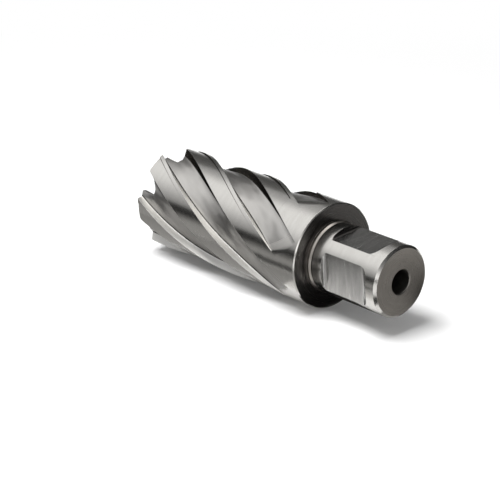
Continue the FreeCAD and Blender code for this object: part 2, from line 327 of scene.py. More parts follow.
def flute_frame(sizes, station):
    """Heel and foot of the leaning wall, seen back from the next rake face."""
    radius = sizes.cutter_diameter / 2
    lean = math.radians(sizes.heel_lean)
    rake_depth, heel_depth = flute_depths(sizes, min(station, -sizes.heel_side_end))
    angle = math.radians(sizes.flute_span)
    angle -= (sizes.flute_depth - heel_depth) * math.tan(lean) / radius
    outward = Vector((math.cos(angle), -math.sin(angle)))
    sideways = Vector((math.sin(angle), math.cos(angle)))
    down = sideways * math.sin(lean) - outward * math.cos(lean)
    heel = outward * radius
    foot = heel + down * (max(heel_depth, 0.0) / math.cos(lean))
    return rake_depth, heel_depth, heel, foot, down


def back_angle(point):
    """Angle of a point of that view back from the rake face, radians."""
    return math.atan2(-point.y, point.x)


def floor_height(sizes, station, share):
    """Radius of the flute floor, at a share of the way from rake root to foot."""
    rake_depth, heel_depth = flute_depths(sizes, station)
    height = sizes.cutter_diameter / 2 - rake_depth - (heel_depth - rake_depth) * share
    return height - 4 * sizes.floor_hollow * share * (1 - share)


def crossing(low, high, before):
    """Where a test that holds at the low value stops to hold."""
    for _ in range(HALVINGS):
        middle = (low + high) / 2
        if before(middle):
            low = middle
        else:
            high = middle
    return high


def floor_end(sizes, share):
    """Station where the floor comes out through the surface of the collar."""
    def sunk(station):
        return floor_height(sizes, station, share) < sizes.cutter_diameter / 2

    return crossing(-sizes.runout_length, -sizes.collar_chamfer, sunk)


def ground_away(sizes, station, distance, degrees):
    """Whether the wedges at the teeth have taken a point off the toothed end."""
    core = sizes.core_diameter / 2
    rise = math.tan(math.radians(sizes.end_cone))
    slope = math.tan(math.radians(sizes.end_relief))
    reach = sizes.cutter_diameter / 2 * math.sin(math.radians(PITCH / 2))
    nose = -sizes.nose_length
    for tooth in range(-1, 2):
        turn = (degrees - sizes.rake_start + PITCH / 2) % PITCH - PITCH / 2 + tooth * PITCH
        across = distance * math.sin(math.radians(turn))
        if abs(across) > reach or abs(turn) >= 90:
            continue
        radial = distance * math.cos(math.radians(turn))
        along = station + sizes.head_length - (radial - core) * rise
        if across >= nose and along < (across - nose) * slope:
            return True
        wall = nose + sizes.gullet_lean * along / sizes.gullet_depth
        floor = nose + sizes.gullet_lean - sizes.gullet_flat
        bottom = sizes.gullet_depth
        if across < floor:
            bottom -= (bottom - sizes.gullet_heel) * (floor - across) / (floor + reach)
        if across < wall and along < bottom:
            return True
    return False


def end_station(sizes, distance, degrees, turning):
    """Station where the steel begins at the toothed end. The angle is the one that
    the point has at the tips; turning is how many degrees it gains per mm."""
    def taken(station):
        angle = degrees + (station + sizes.head_length) * turning
        return ground_away(sizes, station, distance, angle)

    low = -sizes.head_length + sizes.gullet_depth + SEARCH_ABOVE
    while not taken(low):
        low -= SEARCH_STEP
        if low < -sizes.head_length - SEARCH_BELOW:
            return -sizes.head_length
    return crossing(low, low + SEARCH_STEP, taken)


def floor_stops(sizes):
    """Kinks that the gullet makes across the flute floor, from the heel wall to the
    rake face, as angles behind the rake face on the floor and on the core."""
    floor = sizes.cutter_diameter / 2 - sizes.flute_depth
    core = sizes.core_diameter / 2
    turning = 360 / sizes.flute_lead
    rise = math.tan(math.radians(sizes.end_cone))
    foot_angle = math.degrees(back_angle(flute_frame(sizes, -sizes.head_length)[3]))
    stops = [(foot_angle - math.degrees(sizes.heel_root / floor), PITCH - FLOOR_AT)]
    corner = sizes.nose_length - sizes.gullet_lean
    kinks = (
        (corner + sizes.gullet_flat, sizes.gullet_depth),
        (corner, sizes.gullet_depth),
        (sizes.nose_length, 0.0),
    )
    for across, depth in kinks:
        stops.append([
            math.degrees(math.asin(across / distance)) + (depth + (distance - core) * rise) * turning
            for distance in (floor, core)
        ])
    stops.append((math.degrees(sizes.rake_root / floor), PITCH - ROOT_AT))
    return stops, foot_angle


def tooth_columns(sizes):
    """Columns round one tooth: each has its surface, its share of that surface,
    and the angle behind the rake face where it meets the core."""
    columns = []

    def run(surface, count, start, end):
        for share in evenly(0, 1, count)[:-1]:
            columns.append((surface, share, start + (end - start) * share))

    margin = math.degrees(sizes.margin_width / (sizes.cutter_diameter / 2))
    run("rake", RAKE_COLUMNS, 0.0, EDGE_AT)
    run("margin", MARGIN_COLUMNS, EDGE_AT, margin + STEP_AFTER)
    columns.append(("step", 0.0, margin + STEP_AFTER))
    columns.append(("groove", 0.0, margin + GROOVE_AFTER))
    start = margin + LAND_AFTER
    for share in evenly(GROOVE_SHARE, 1, LAND_COLUMNS)[:-1]:
        columns.append(("land", share, start + (HEEL_AT - start) * share))
    run("heel", HEEL_COLUMNS, HEEL_AT, FOOT_AT)
    run("heel_root", HEEL_ROOT_COLUMNS, FOOT_AT, FLOOR_AT)
    stops, foot_angle = floor_stops(sizes)
    whole = stops[0][0] - stops[-1][0]
    for (outer_a, inner_a), (outer_b, inner_b) in zip(stops, stops[1:]):
        count = max(2, round(FLOOR_COLUMNS * (outer_a - outer_b) / whole))
        for share in evenly(0, 1, count)[:-1]:
            outer = outer_a + (outer_b - outer_a) * share
            inner = inner_a + (inner_b - inner_a) * share
            columns.append(("floor", outer / foot_angle, PITCH - inner))
    run("rake_root", RAKE_ROOT_COLUMNS, ROOT_AT, PITCH)
    return columns


def fillet(corner, before, after, radius, share):
    """A point on the arc that rounds the corner between two directions, at a share of
    its turn."""
    inward = before.normalized()
    outward = after.normalized()
    half = inward.angle(outward) / 2
    reach = radius / math.tan(half)
    centre = corner + (inward + outward).normalized() * (radius / math.sin(half))
    first = corner + inward * reach - centre
    last = corner + outward * reach - centre
    whole = first.angle(last)
    if whole < 1e-6:
        return corner
    bent = first * math.sin((1 - share) * whole) + last * math.sin(share * whole)
    return centre + bent / math.sin(whole)


def section_point(sizes, column, station, relieved):
    """Distance from the axis, and angle behind the rake face, of a column's point."""
    surface, share, _ = column
    radius = sizes.cutter_diameter / 2
    margin = sizes.margin_width / radius
    top = radius - (sizes.relief_step if relieved else 0.0)
    rake_depth, heel_depth, heel, foot, down = flute_frame(sizes, station)
    rake_depth = max(rake_depth, 0.0)
    heel_depth = max(heel_depth, 0.0)
    pitch = math.radians(PITCH)
    foot_angle = back_angle(foot)
    heel_radius = min(sizes.heel_root, heel_depth * FILLET_LIMIT)
    root_radius = min(sizes.rake_root, rake_depth * FILLET_LIMIT)

    def on_floor(part):
        height = min(floor_height(sizes, station, part), radius)
        angle = part * foot_angle
        return Vector((height * math.cos(angle), -height * math.sin(angle)))

    if surface == "rake":
        low = radius - rake_depth + root_radius
        return low + (radius - low) * share, 0.0
    if surface == "margin":
        return radius, margin * share
    if surface == "step":
        return radius, margin
    if surface in ("groove", "land"):
        heel_angle = pitch - back_angle(heel)
        return top, margin + (heel_angle - margin) * share
    if surface in ("heel", "heel_root", "floor") and heel_depth <= 0:
        part = share if surface == "floor" else 1.0
        return radius, pitch - part * foot_angle
    if surface == "heel":
        crown = heel + down * ((radius - top) / math.cos(math.radians(sizes.heel_lean)))
        ending = foot - down * heel_radius
        point = crown + (ending - crown) * share
    elif surface == "heel_root":
        along = on_floor(1 - heel_radius / (radius * foot_angle)) - foot
        point = fillet(foot, -down, along, heel_radius * FILLET_ARC, share)
    elif surface == "floor":
        point = on_floor(share)
    elif root_radius < 1e-4:
        return radius - rake_depth, pitch
    else:
        corner = Vector((radius - rake_depth, 0.0))
        along = on_floor(root_radius / (radius * foot_angle)) - corner
        point = fillet(corner, along, Vector((1.0, 0.0)), root_radius * FILLET_ARC, share)
    return point.length, pitch - back_angle(point)


def stop_stations(sizes, column):
    """Stations where a column leaves the relief or first bend, and where its flute ends."""
    surface, share, _ = column
    ratio = (sizes.runout_length - sizes.relief_end) / (sizes.runout_length - sizes.heel_side_end)
    if surface in ("rake", "rake_root"):
        second = -sizes.rake_side_end
    elif surface == "margin":
        second = -sizes.rake_side_end + (sizes.rake_side_end - sizes.heel_side_end) * share
    elif surface == "floor":
        second = floor_end(sizes, share)
    else:
        second = -sizes.heel_side_end
    return -sizes.runout_length + (second + sizes.runout_length) * ratio, second


def head_rows(sizes, column):
    """Points of one column from the toothed end to the collar, as station, distance
    and absolute angle in degrees for the first tooth."""
    distance, angle = section_point(sizes, column, -sizes.head_length, True)
    angle = sizes.rake_start + math.degrees(angle)
    tip = end_station(sizes, distance, angle, 360 / sizes.flute_lead)
    first, second = stop_stations(sizes, column)
    start = -sizes.runout_length
    relieved = evenly(tip, start, PLAIN_ROWS)[:-1] + evenly(start, first, RELIEF_ROWS - 1)
    plain = evenly(first, second, RUNOUT_ROWS - 1) + evenly(second, -sizes.collar_chamfer, COLLAR_ROWS)[1:]
    stations = [(station, True) for station in relieved] + [(station, False) for station in plain]
    rows = []
    for station, relieved in stations:
        distance, angle = section_point(sizes, column, station, relieved)
        if station >= second - 1e-9 and column[0] in ("floor", "rake_root", "rake"):
            distance = sizes.cutter_diameter / 2
        rows.append((station, distance, rake_angle(sizes, station) + math.degrees(angle)))
    return rows


# the form of the shank and of the inside

def flat_share(sizes):
    """Half the angle that a flat takes off the round of the shank, degrees."""
    return math.degrees(math.acos(sizes.flat_height / (sizes.shank_diameter / 2)))


def shank_angles(sizes, count, first):
    """Angles of the shank's columns, starting near an angle, with columns on the
    edges of both flats. Each comes with its angle from the middle of a flat."""
    half = flat_share(sizes)
    middles = (90 + sizes.flat_angle + 360, 180 + sizes.flat_angle + 360)
    spare = count - 2 * FLAT_COLUMNS - BRIDGE_COLUMNS
    before = middles[0] - half - first
    after = first + 360 - (middles[1] + half)
    lead_in = round(spare * before / (before + after))
    spans = (
        (first, middles[0] - half, lead_in, None),
        (middles[0] - half, middles[0] + half, FLAT_COLUMNS, middles[0]),
        (middles[0] + half, middles[1] - half, BRIDGE_COLUMNS, None),
        (middles[1] - half, middles[1] + half, FLAT_COLUMNS, middles[1]),
        (middles[1] + half, first + 360, spare - lead_in, None),
    )
    angles = []
    for start, end, steps, middle in spans:
        for angle in evenly(start, end, steps)[:-1]:
            angles.append((angle, None if middle is None else angle - middle))
    return angles


def shank_column(sizes, offset):
    """Points of one column along the shank, from the undercut to the end chamfer:
    station and distance. offset is the angle from the middle of a flat, if any."""
    radius = sizes.shank_diameter / 2
    floor = sizes.flat_height
    start = sizes.ring_width + sizes.groove_width
    finish = sizes.shank_length - sizes.shank_chamfer
    foot_end = sizes.flat_start + sizes.flat_root
    leaving = sizes.flat_start + sizes.flat_length
    cosine = 1.0 if offset is None else math.cos(math.radians(offset))
    depth = floor + 1 if offset is None else radius * cosine

    def arc_height(arc, along):
        return floor + arc - math.sqrt(max(arc ** 2 - along ** 2, 0.0))

    def arc_reach(arc):
        return math.sqrt(max(arc ** 2 - (floor + arc - depth) ** 2, 0.0))

    def on_steel(height):
        return radius if offset is None else min(height / cosine, radius)

    first = sizes.flat_start
    if depth < floor + sizes.flat_root:
        first = foot_end - arc_reach(sizes.flat_root)
    last = leaving + arc_reach(sizes.flat_exit)
    wall_foot = on_steel(arc_height(sizes.flat_root, foot_end - first))
    rows = [(station, radius) for station in evenly(start, first, LEAD_ROWS)]
    rows += [(first, distance) for distance in evenly(radius, wall_foot, WALL_ROWS)[1:]]
    for station in evenly(first, foot_end, FOOT_ROWS)[1:]:
        rows.append((station, on_steel(arc_height(sizes.flat_root, foot_end - station))))
    rows += [(station, on_steel(floor)) for station in evenly(foot_end, leaving, FLAT_ROWS)[1:]]
    for station in evenly(leaving, last, EXIT_ROWS)[1:]:
        rows.append((station, on_steel(arc_height(sizes.flat_exit, station - leaving))))
    rows += [(station, radius) for station in evenly(last, finish, TAIL_ROWS)[1:]]
    return rows


# the mesh: rings of points round the axis, as station, distance and angle. Each
# comes with the name of the band between it and the next.

def head_rings(sizes, columns):
    """Rings over the outside of the head, from the tips to the collar's chamfer."""
    heads = [head_rows(sizes, column) for column in columns]
    rings = []
    for row, line in enumerate(zip(*heads)):
        points = [
            (station, distance, angle + tooth * PITCH)
            for tooth in range(TEETH)
            for station, distance, angle in line
        ]
        rings.append((points, "flutes" if row < RUNOUT_END else "collar"))
    return rings


def shoulder_rings(sizes, rim, around):
    """Rings over the shoulder, the raised ring and the undercut."""
    shank = sizes.shank_diameter / 2
    shoulder = sizes.cutter_diameter / 2 - sizes.collar_chamfer
    ring_top = shank + sizes.ring_height
    rings = []
    for share in evenly(0, 1, SHOULDER_ROWS):
        distance = shoulder + (ring_top - shoulder) * share
        points = [
            (0.0, distance, start + (angle - start) * share)
            for (_, _, start), (angle, _) in zip(rim, around)
        ]
        rings.append((points, "shoulder" if share < 1 else "ring"))
    height, length = RING_CHAMFER
    bottom = shank - sizes.groove_depth
    for station, distance, band in (
        (sizes.ring_width - length, ring_top, "ring"),
        (sizes.ring_width, ring_top - height, "undercut"),
        (sizes.ring_width, bottom, "undercut"),
        (sizes.ring_width + sizes.groove_width, bottom, "undercut"),
    ):
        rings.append(([(station, distance, angle) for angle, _ in around], band))
    return rings


def shank_rings(sizes, around):
    """Rings along the shank, over both flats."""
    lines = [shank_column(sizes, offset) for _, offset in around]
    rings = []
    for row, line in enumerate(zip(*lines)):
        band = "shank"
        if LEAD_ROWS <= row < WALL_END:
            band = "flat_walls"
        elif WALL_END <= row < FLAT_END:
            band = "flats"
        points = [(*point, angle) for point, (angle, _) in zip(line, around)]
        rings.append((points, band))
    return rings


def bore_rings(sizes, around, even):
    """Rings over the end of the shank and through the bore to the core."""
    end_face = sizes.shank_diameter / 2 - sizes.shank_chamfer
    bore = sizes.bore_diameter / 2
    mouth = bore + sizes.bore_chamfer
    rings = []
    for share in evenly(0, 1, END_ROWS):
        distance = end_face + (mouth - end_face) * share
        points = [
            (sizes.shank_length, distance, angle + (flat - angle) * share)
            for (angle, _), flat in zip(around, even)
        ]
        rings.append((points, "end" if share < 1 else "bore"))
    start = sizes.shank_length - sizes.bore_chamfer
    finish = -sizes.head_length + sizes.core_depth
    for station in evenly(start, finish, BORE_ROWS):
        rings.append(([(station, bore, angle) for angle in even], "bore"))
    rings[-1] = (rings[-1][0], "core")
    return rings


def core_rings(sizes, columns, even):
    """Rings over the floor, the corner and the wall of the core, up to the teeth."""
    turning = 360 / sizes.flute_lead
    bore = sizes.bore_diameter / 2
    core = sizes.core_diameter / 2
    corner = sizes.core_corner
    floor = -sizes.head_length + sizes.core_depth
    wall_end = floor - corner
    tips = []
    for tooth in range(TEETH):
        for _, _, inner in columns:
            angle = sizes.rake_start + inner + tooth * PITCH
            tips.append((end_station(sizes, core, angle, turning), angle))

    def on_core(angle, station):
        return angle + (station + sizes.head_length) * turning

    rings = []
    ends = [on_core(angle, wall_end) for _, angle in tips]
    for share in evenly(0, 1, FLOOR_ROWS)[1:]:
        distance = bore + (core - corner - bore) * share
        points = [(floor, distance, start + (end - start) * share) for start, end in zip(even, ends)]
        rings.append((points, "core"))
    for degrees in evenly(0, 90, CORNER_ROWS)[1:]:
        turn = math.radians(degrees)
        station = wall_end + corner * math.cos(turn)
        distance = core - corner + corner * math.sin(turn)
        rings.append(([(station, distance, end) for end in ends], "core"))
    walls = [evenly(wall_end, tip, CORE_ROWS)[1:] for tip, _ in tips]
    for line in zip(*walls):
        points = [(station, core, on_core(angle, station)) for station, (_, angle) in zip(line, tips)]
        rings.append((points, "core"))
    rings[-1] = (points, "teeth")
    return rings


def coordinates(station, distance, angle):
    """X, Y and Z of a point given round the axis."""
    turn = math.radians(angle)
    return station, distance * math.cos(turn), distance * math.sin(turn)


def blend_points(first, second, share):
    """Point on the straight line between two points given round the axis."""
    middle = Vector(coordinates(*first)).lerp(Vector(coordinates(*second)), share)
    angle = math.degrees(math.atan2(middle.z, middle.y))
    near = first[2] + (second[2] - first[2]) * share
    angle += 360 * round((near - angle) / 360)
    return middle.x, math.hypot(middle.y, middle.z), angle


def tip_rings(sizes, columns, inside, outside):
    """Rings over the ends of the teeth, from the wall of the core to the outside."""
    rings = []
    for share in evenly(0, 1, TIP_ROWS)[1:-1]:
        points = []
        for i, (inner, outer) in enumerate(zip(inside, outside)):
            point = blend_points(inner, outer, share)
            if columns[i % len(columns)][0] not in ("rake", "floor", "rake_root"):
                point = (end_station(sizes, point[1], point[2], 0.0), *point[1:])
            points.append(point)
        rings.append((points, "teeth"))
    return rings


def cutter_rings(sizes, columns):
    """Rings round the whole cutter, from the tips over the outside and the shank,
    and back through the bore and the core, and the angles of the shank's columns."""
    rings = head_rings(sizes, columns)
    rim = rings[-1][0]
    count = len(rim)
    around = shank_angles(sizes, count, rim[0][2])
    even = [around[0][0] + 360 * i / count for i in range(count)]
    rings += shoulder_rings(sizes, rim, around)
    rings += shank_rings(sizes, around)
    rings += bore_rings(sizes, around, even)
    rings += core_rings(sizes, columns, even)
    rings += tip_rings(sizes, columns, rings[-1][0], rings[0][0])
    return rings, around


def across_flute(sizes, columns):
    """Distance of each column across the flute, for the lines that grinding leaves."""
    lengths = []
    total = 0.0
    before = None
    for column in columns:
        distance, angle = section_point(sizes, column, -sizes.runout_length, True)
        point = Vector((distance * math.cos(angle), distance * math.sin(angle)))
        if before is not None:
            total += (point - before).length
        lengths.append(total)
        before = point
    return lengths + [total + LAST_WIDTH]


def head_slot(row, column):
    """Surface of the head at a row and a column of the mesh."""
    surface, share, _ = column
    # painted shade: margin steps and grooves, heel walls, parts of the fillets and the corner of the
    # run-out are dark grey for the shade there
    if surface in ("step", "groove"):
        return PAINTED_SHADE if row < RUNOUT_START - 1 else LAND
    slot = FLUTE_SLOTS.get(surface, LAND)
    in_corner = surface == "floor" and share > SHADED_FLOOR and row >= RUNOUT_START
    if in_corner or share < SHADED_SHARES.get(surface, 0.0):
        return PAINTED_SHADE
    return LAND if slot == FLUTE and row >= RUNOUT_END - BLENDED_ROWS else slot


def on_tool_marks(band, station, distance, angle):
    """Place on the tool marks of a band, across them and along them."""
    if band in ("shoulder", "end"):
        return distance, angle * FACE_MARKS
    if band == "teeth":
        return angle * ROUND_MARKS, distance
    return station, angle * ROUND_MARKS


def build_cutter(sizes, finishes):
    """Mesh of the whole cutter in one closed skin, with a material on each surface
    and a UV map in millimetres: U across the tool marks, V along them."""
    columns = tooth_columns(sizes)
    per_tooth = len(columns)
    rings, around = cutter_rings(sizes, columns)
    count = len(around)
    widths = across_flute(sizes, columns)
    # length along the helix for each mm along the axis
    slant = 1 / math.cos(math.atan(math.pi * sizes.cutter_diameter / sizes.flute_lead))
    work = bmesh.new()
    marks = work.loops.layers.uv.new("tool_marks")
    corners = []
    for points, _ in rings:
        places = [[value * MM for value in coordinates(*point)] for point in points]
        corners.append([work.verts.new(place) for place in places])
    for row, (_, band) in enumerate(rings):
        following = (row + 1) % len(rings)
        for i in range(count):
            k = (i + 1) % count
            lap = 360 if k == 0 else 0
            column = columns[i % per_tooth]
            in_flute = band == "flutes" and column[0] in FLUTE_SLOTS
            on_flat = band in ("flats", "flat_walls") and around[i][1] is not None
            slot = head_slot(row, column) if band == "flutes" else BAND_SLOTS.get(band, LAND)
            if on_flat:
                middle = math.radians(around[i][0] - around[i][1])
                faces_up = round(math.sin(middle)) == 1
                # painted shade: the wall of the upper flat takes the shoulder's darkened colour, standing
                # in for the dark reflection of the shoulder in it; the side flat's wall does not
                slot = SHOULDER if band == "flat_walls" and faces_up else FLAT
            places = ((row, i, 0), (row, k, lap), (following, k, lap), (following, i, 0))
            face = work.faces.new([corners[r][c] for r, c, _ in places])
            face.material_index = slot
            face.smooth = True
            for loop, (r, c, turns) in zip(face.loops, places):
                station, distance, angle = rings[r][0][c]
                angle = math.radians(angle + turns)
                if in_flute:
                    place = (widths[i % per_tooth + (0 if c == i else 1)], station * slant)
                elif on_flat:
                    place = (station, distance * math.sin(angle - middle))
                else:
                    place = on_tool_marks(band, station, distance, angle)
                loop[marks].uv = place
    bmesh.ops.remove_doubles(work, verts=work.verts, dist=1e-6)
    bmesh.ops.recalc_face_normals(work, faces=work.faces)
    mesh = bpy.data.meshes.new("cutter_body")
    work.to_mesh(mesh)
    work.free()
    mesh.set_sharp_from_angle(angle=math.radians(SHARP_ANGLE))
    for material in finishes:
        mesh.materials.append(material)
    return in_scene("cutter_body", mesh)


# finishes

def add(tree, kind, settings=None, links=None):
    """Add a node, with its properties and input values set and its inputs linked."""
    item = tree.nodes.new(kind)
    for name, value in (settings or {}).items():
        if isinstance(name, int) or name in item.inputs:
            item.inputs[name].default_value = value
        else:
            setattr(item, name, value)
    for name, source in (links or {}).items():
        tree.links.new(source, item.inputs[name])
    return item


def new_material(name):
    """An empty node material and its tree."""
    material = bpy.data.materials.new(name)
    material.use_nodes = True
    material.node_tree.nodes.clear()
    return material, material.node_tree


def ramp(tree, value, stops):
    """Colours by value, from pairs of position and colour."""
    colours = add(tree, "ShaderNodeValToRGB", {}, {"Fac": value})
    elements = colours.color_ramp.elements
    while len(elements) < len(stops):
        elements.new(0.5)
    for element, (position, colour) in zip(elements, stops):
        element.position = position
        element.color = colour
    return colours.outputs["Color"]


def machined_steel(name, colour, tint, marks, gloss, relief, stretch, edge=1.0, wave=0.0, metal=1.0):
    """High-speed steel with the lines that a tool leaves.

    tint: share of the colour that its darkest patches keep
    marks: spacing of the lines and length of one, mm
    gloss: mean roughness, and how far the lines move it each way
    relief: height of the lines, mm
    stretch: how far the gloss is drawn out across the lines
    edge: share of the shine at a glancing angle that is left
    wave: height of the broad waves that a wheel leaves, mm
    metal: how metallic it looks
    """
    material, tree = new_material(name)
    place = add(tree, "ShaderNodeUVMap", {"uv_map": "tool_marks"}).outputs["UV"]

    def noise(scale, settings):
        """Noise on the tool marks, at a scale per mm across them and along them."""
        spread = add(tree, "ShaderNodeMapping", {"Scale": (*scale, 1.0)}, {"Vector": place})
        links = {"Vector": spread.outputs["Vector"]}
        return add(tree, "ShaderNodeTexNoise", {"Scale": 1.0, **settings}, links).outputs["Fac"]

    grain = noise((1 / marks[0], 1 / marks[1]), {"Detail": 4.0, "Roughness": 0.65})
    full = linear(colour)
    dark = [channel * tint for channel in full[:3]] + [1.0]
    tone = ramp(tree, noise(PATCHES, {"Detail": 2.0}), ((NOISE_LOW, dark), (NOISE_HIGH, full)))
    mean, spread = gloss
    limits = {
        "From Min": NOISE_LOW,
        "From Max": NOISE_HIGH,
        "To Min": mean - spread,
        "To Max": mean + spread,
    }
    rough = add(tree, "ShaderNodeMapRange", limits, {"Value": grain})
    normal = add(tree, "ShaderNodeBevel", {"samples": 4, "Radius": EDGE_ROUNDING * MM}).outputs["Normal"]
    heights = [(grain, relief)]
    if wave:
        heights.append((noise(WAVES, {"Detail": 1.0}), wave))
    for height, distance in heights:
        bump = add(tree, "ShaderNodeBump", {"Strength": 1.0, "Distance": distance * MM},
                   {"Height": height, "Normal": normal})
        normal = bump.outputs["Normal"]
    grip = add(tree, "ShaderNodeTangent", {"direction_type": "UV_MAP", "uv_map": "tool_marks"})
    shader = add(tree, "ShaderNodeBsdfPrincipled", {
        "Metallic": metal,
        "Anisotropic": stretch,
        "Anisotropic Rotation": 0.25,
        "Specular Tint": (edge, edge, edge, 1.0),
    }, {
        "Base Color": tone,
        "Roughness": rough.outputs["Result"],
        "Normal": normal,
        "Tangent": grip.outputs["Tangent"],
    })
    add(tree, "ShaderNodeOutputMaterial", {}, {"Surface": shader.outputs["BSDF"]})
    return material


def cutter_finishes(colours):
    """The finishes of the cutter, in the order of their surfaces."""
    return [
        # cylindrical grinding of hardened steel: bright and satin, with marks round the axis
        machined_steel("cylindrical_ground_steel", colours.ground, tint=0.95,
                       marks=(0.10, 3.0), gloss=(0.19, 0.02), relief=0.0001, stretch=0.3),
        # finish ground up to the edge, with a broad soft sheen; its colour is the lightest of the steels
        # partly as a painted highlight along the rake faces
        machined_steel("rake_ground_steel_painted_highlight", colours.edged_painted_highlight, tint=0.95,
                       marks=(0.12, 9.0), gloss=(0.42, 0.04), relief=0.0003, stretch=0.2),
        # wheel marks along the helix: soft long reflections that follow the flutes and
        # waver a little
        machined_steel("flute_ground_steel", colours.fluted, tint=0.93,
                       marks=(0.12, 9.0), gloss=(0.33, 0.05), relief=0.0004, stretch=0.3, wave=0.5),
        # painted shade: a dull dark grey on the heel walls, margin steps, undercut and corners of the
        # flutes, standing in for the shade in those recesses, which draws the edges of the lands
        machined_steel("painted_shade_steel", colours.painted_shade_grey, tint=0.8,
                       marks=(0.2, 5.0), gloss=(0.42, 0.05), relief=0.0008, stretch=0.1, edge=0.3),
        # faced with a broad tool: a clear mirror beside the satin of the shank's end, with its colour
        # darkened as painted shade and dark reflection round the shank
        machined_steel("shoulder_faced_steel_painted_shade", colours.parted_painted_dark, tint=0.9,
                       marks=(0.2, 12.0), gloss=(0.28, 0.02), relief=0.0001, stretch=0.1),
        # turned with a small feed: faint rings round the bore, darker than the ground skin
        machined_steel("faced_steel", colours.turned, tint=0.88,
                       marks=(0.16, 12.0), gloss=(0.30, 0.06), relief=0.0008, stretch=0.3),
        # surface grinding across the axis: parallel lines that the light catches, drawn
        # about three times coarser than real so that they still show from half a metre
        machined_steel("surface_ground_steel", colours.milled, tint=0.82,
                       marks=(0.22, 14.0), gloss=(0.21, 0.07), relief=0.0013, stretch=0.4),
        # bored from solid and left: dull and darker, with rings
        machined_steel("bored_steel", colours.bored, tint=0.85,
                       marks=(0.25, 8.0), gloss=(0.42, 0.08), relief=0.0020, stretch=0.2),
        # rough bored: the torn rings scatter light like a matt surface, so the inside of
        # the deep core is a soft grey and not a black hole
        machined_steel("rough_bored_steel", colours.cored, tint=0.85,
                       marks=(0.25, 8.0), gloss=(0.5, 0.06), relief=0.0020, stretch=0.1, metal=0.4),
    ]


# studio

def emit(tree, settings, links):
    """Make a material give off light."""
    glow = add(tree, "ShaderNodeEmission", settings, links)
    add(tree, "ShaderNodeOutputMaterial", {}, {"Surface": glow.outputs["Emission"]})


def card_uv(tree, mesh, places):
    """Give a card's mesh a UV map, and return its U and V in the card's material."""
    layout = mesh.uv_layers.new(name="card")
    for loop, place in zip(layout.data, places):
        loop.uv = place
    where = add(tree, "ShaderNodeUVMap", {"uv_map": "card"})
    parts = add(tree, "ShaderNodeSeparateXYZ", {}, {"Vector": where.outputs["UV"]})
    return parts.outputs["X"], parts.outputs["Y"]


def show_in_reflections(name, mesh, material):
    """Put a card in the room that only reflections see."""
    mesh.materials.append(material)
    card = in_scene(name, mesh)
    for rays in ("camera", "diffuse", "shadow", "transmission", "volume_scatter"):
        setattr(card, "visible_" + rays, False)


def hang_card(name, corners, levels):
    """A grey card: its four corners in mm, and its grey levels along its first edge
    and along the opposite one."""
    mesh = bpy.data.meshes.new(name)
    mesh.from_pydata([Vector(corner) * MM for corner in corners], [], [(0, 1, 2, 3)])
    material, tree = new_material(name + "_cloth")
    _, up = card_uv(tree, mesh, ((0, 0), (1, 0), (1, 1), (0, 1)))
    shade = add(tree, "ShaderNodeMapRange", {"To Min": levels[0], "To Max": levels[1]}, {"Value": up})
    emit(tree, {"Color": linear(WARM_WHITE)}, {"Strength": shade.outputs["Result"]})
    show_in_reflections(name, mesh, material)


def hang_curtain():
    """A graded curtain round the table: bright behind the camera, grey beside the teeth
    and lighter above them, and dark beyond the shank."""
    rows = []
    for level in (CURTAIN_FOOT, CURTAIN_TOP):
        for degrees in evenly(-180, 180, CURTAIN_FACES):
            turn = math.radians(degrees)
            place = Vector((CURTAIN_RADIUS * math.cos(turn), CURTAIN_RADIUS * math.sin(turn), level))
            rows.append(place * MM)
    above = CURTAIN_FACES + 1
    faces = [(i, i + 1, above + 1 + i, above + i) for i in range(CURTAIN_FACES)]
    mesh = bpy.data.meshes.new("grey_curtain")
    mesh.from_pydata(rows, [], faces)
    places = []
    for i in range(CURTAIN_FACES):
        left, right = i / CURTAIN_FACES, (i + 1) / CURTAIN_FACES
        places += [(left, 0), (right, 0), (right, 1), (left, 1)]
    material, tree = new_material("grey_curtain_cloth")
    across, up = card_uv(tree, mesh, places)
    bands = []
    for levels in (CURTAIN_LOW, CURTAIN_HIGH):
        stops = [((degrees + 180) / 360, (level, level, level, 1.0)) for degrees, level in levels]
        bands.append(ramp(tree, across, stops))
    rise = add(tree, "ShaderNodeMapRange", {"interpolation_type": "SMOOTHSTEP", "From Max": CURTAIN_RISE},
               {"Value": up})
    shade = add(tree, "ShaderNodeMix", {"data_type": "RGBA"}, {
        0: rise.outputs["Result"],
        6: bands[0],
        7: bands[1],
    })
    emit(tree, {}, {"Color": shade.outputs[2]})
    show_in_reflections("grey_curtain", mesh, material)


def hang_lamp():
    """The key light: a square soft light that matt surfaces see."""
    data = bpy.data.lights.new("key_softbox", "AREA")
    data.shape = "SQUARE"
    data.size = KEY_SIZE * MM
    data.energy = KEY_POWER
    lamp = in_scene("key_softbox", data)
    lamp.location = Vector(KEY_PLACE) * MM
    lamp.rotation_euler = (-lamp.location).to_track_quat("-Z", "Y").to_euler()
    lamp.visible_glossy = False


def seen_directly(tree):
    """1 for rays from the camera, in a reflection or through glass, else 0."""
    path = add(tree, "ShaderNodeLightPath")
    direct = path.outputs["Is Camera Ray"]
    for ray in ("Is Glossy Ray", "Is Transmission Ray"):
        either = add(tree, "ShaderNodeMath", {"operation": "MAXIMUM"}, {0: direct, 1: path.outputs[ray]})
        direct = either.outputs["Value"]
    return direct


